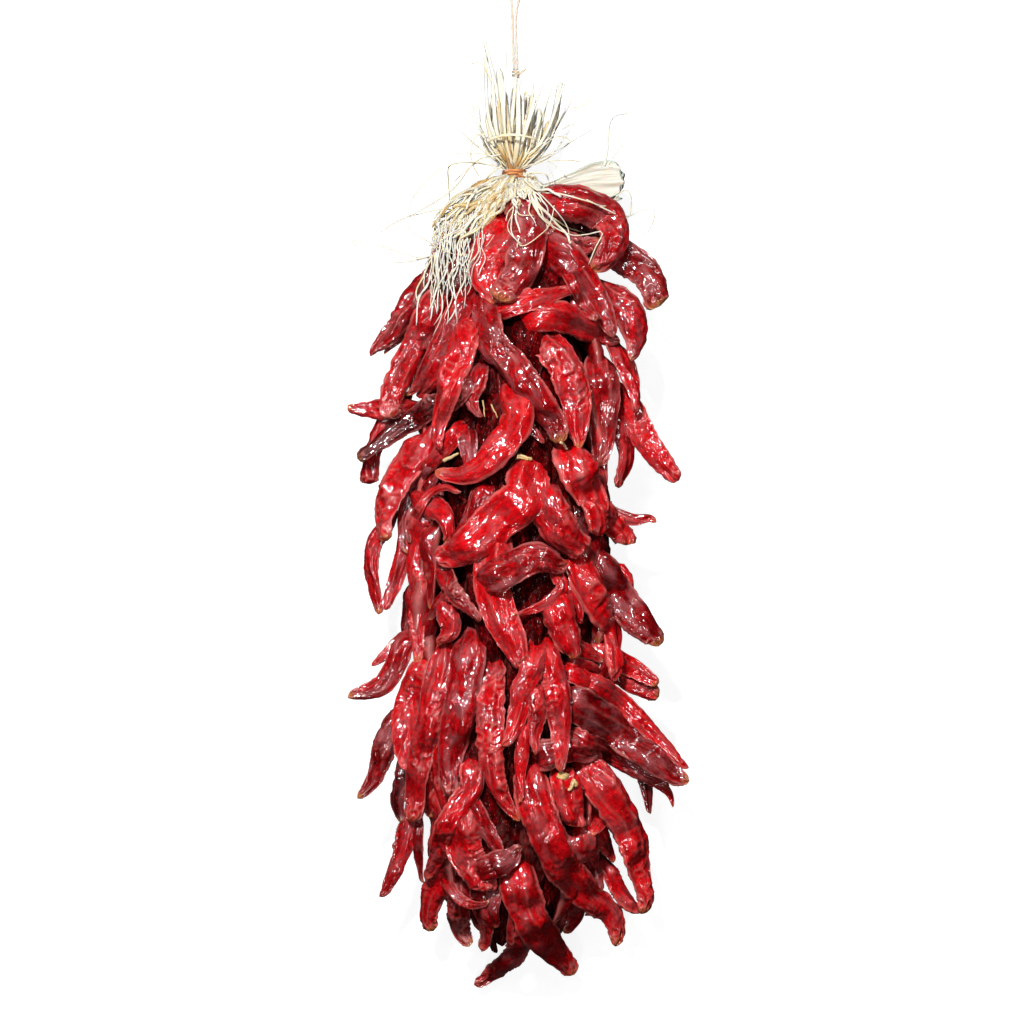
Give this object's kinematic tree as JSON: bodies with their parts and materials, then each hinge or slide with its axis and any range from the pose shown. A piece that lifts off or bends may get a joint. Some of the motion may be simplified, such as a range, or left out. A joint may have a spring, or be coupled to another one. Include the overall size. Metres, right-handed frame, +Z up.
{
  "type": "string of dried chillies",
  "caption": "Hanging string of dried red chilli pods packed in a long dense bundle, with a raffia tuft, a twine tie, a husk leaf and a hanging loop, lying on its back.",
  "frame": {"origin": "bottom centre of the box round the string as it lies, without the hanging cord and its knot; Z = 0 is the surface it lies on", "axes": "+X across the string, to the right as it hangs; +Y along it, up as it hangs, towards the raffia tuft; +Z up, out of the shown side"},
  "size_m": [0.3242, 0.9891, 0.2083],
  "materials": {
    "dried_chilli": "glossy wrinkled dried skin, deep red",
    "raffia": "matte pale straw fibre, golden in its folds",
    "tie_twine": "matte orange-brown twine",
    "husk": "thin ribbed dry husk",
    "cord_twine": "twisted plant-fibre twine",
    "knot_twine": "twisted plant-fibre twine, darker in the knot"
  },
  "bodies": {
    "root": {"chilli_bundle": "dried_chilli", "raffia": "raffia", "tie": "tie_twine", "husk_leaf": "husk", "hanging_cord": "cord_twine", "cord_knot": "knot_twine"}
  },
  "joints": []
}
